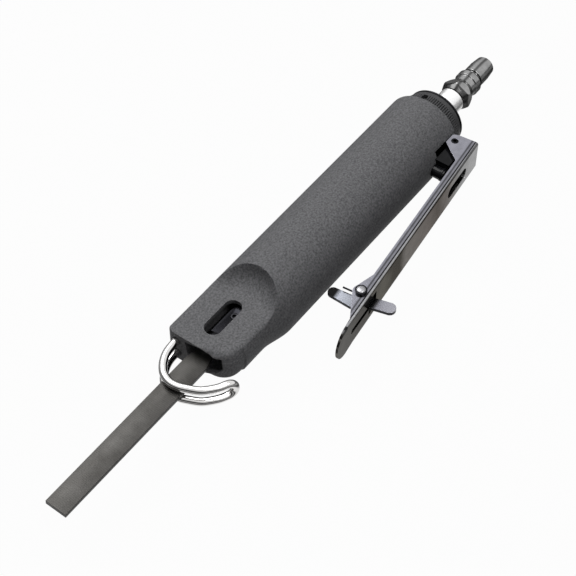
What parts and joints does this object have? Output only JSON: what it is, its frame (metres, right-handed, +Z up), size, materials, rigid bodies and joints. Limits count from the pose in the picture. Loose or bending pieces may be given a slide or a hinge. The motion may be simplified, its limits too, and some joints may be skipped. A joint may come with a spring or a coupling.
{
  "type": "pneumatic reciprocating file",
  "caption": "Air-powered reciprocating file: round grip sleeve with throttle lever and safety latch, flattened nose with chuck slot, bent wire guide, flat file, and air plug at the rear.",
  "frame": {"origin": "under the middle of the bounding box, on the surface that the tool lies on", "axes": "+X forward along the barrel to the tip of the file, +Y towards the throttle lever, +Z up as the tool lies on its side"},
  "size_m": [0.318, 0.0705, 0.038],
  "materials": {
    "black_composite": "fine matte grain",
    "dark_plastic": "satin",
    "black_oxide": "black oxide",
    "dark_steel": "blackened",
    "ground_steel": "ground",
    "gunmetal": "dull nickel",
    "file_steel": "fine abrasive cut",
    "chrome": "polished",
    "smoke_chrome": "satin dark chrome",
    "aluminium": "machined",
    "brass": "machined",
    "rubber": "matte",
    "felt": "pressed felt"
  },
  "bodies": {
    "barrel": {"housing": "black_composite", "guide_screw_upper": "black_oxide", "guide_screw_lower": "black_oxide", "front_bushing": "brass", "rod_seal": "rubber", "front_bumper": "rubber", "rear_bumper": "rubber", "cylinder_liner": "ground_steel", "valve_body": "ground_steel", "cylinder_head": "ground_steel", "rear_block": "aluminium", "throttle_bushing": "brass", "throttle_seat": "rubber", "lever_pin": "dark_steel", "exhaust_muffler": "felt", "deflector_retainer": "black_oxide", "inlet_bushing": "chrome", "inlet_screen": "brass", "air_plug": "gunmetal"},
    "lever": {"throttle_lever": "smoke_chrome", "latch_rivet": "ground_steel"},
    "latch": {"safety_latch": "smoke_chrome", "latch_spring": "ground_steel"},
    "stem": {"throttle_stem": "chrome", "throttle_spring": "ground_steel"},
    "stroke": {"piston": "ground_steel", "piston_ring": "brass", "piston_rod": "ground_steel", "file_holder": "dark_steel", "chuck_screw": "black_oxide", "file": "file_steel"},
    "valve": {"valve_disc": "dark_steel"},
    "guide": {"wire_guide": "chrome"},
    "deflector": {"exhaust_deflector": "dark_plastic"}
  },
  "joints": [
    {"name": "lever_pivot", "type": "hinge", "parent": "barrel", "child": "lever", "pos_m": [-0.09745, 0.00384, 0.019], "axis": [0, 0, -1], "range_deg": [0, 5.15], "stiffness_Nm_per_rad": 2, "springref_deg": -1.15},
    {"name": "latch_pivot", "type": "hinge", "parent": "lever", "child": "latch", "pos_m": [0.00358, 0.02024, 0.019], "axis": [0, 0, -1], "range_deg": [0, 87.6], "stiffness_Nm_per_rad": 0.01, "springref_deg": -17.19, "deforming": ["latch_spring"]},
    {"name": "throttle_stem_slide", "type": "slide", "parent": "barrel", "child": "stem", "axis": [0, -1, 0], "range_m": [0, 0.00136], "deforming": ["throttle_spring"]},
    {"name": "piston_stroke", "type": "slide", "parent": "barrel", "child": "stroke", "axis": [1, 0, 0], "range_m": [-0.005, 0.005]},
    {"name": "valve_flutter", "type": "slide", "parent": "barrel", "child": "valve", "axis": [1, 0, 0], "range_m": [0, 0.003]},
    {"name": "guide_slide", "type": "slide", "parent": "barrel", "child": "guide", "axis": [1, 0, 0], "range_m": [0, 0.008]},
    {"name": "deflector_turn", "type": "hinge", "parent": "barrel", "child": "deflector", "pos_m": [-0.10765, -0.01646, 0.019], "axis": [1, 0, 0], "continuous": true}
  ],
  "couplings": [
    {"joint": "latch_pivot", "follows": "lever_pivot", "ratio": 17},
    {"joint": "throttle_stem_slide", "follows": "lever_pivot", "m_per_rad": 0.0149}
  ]
}
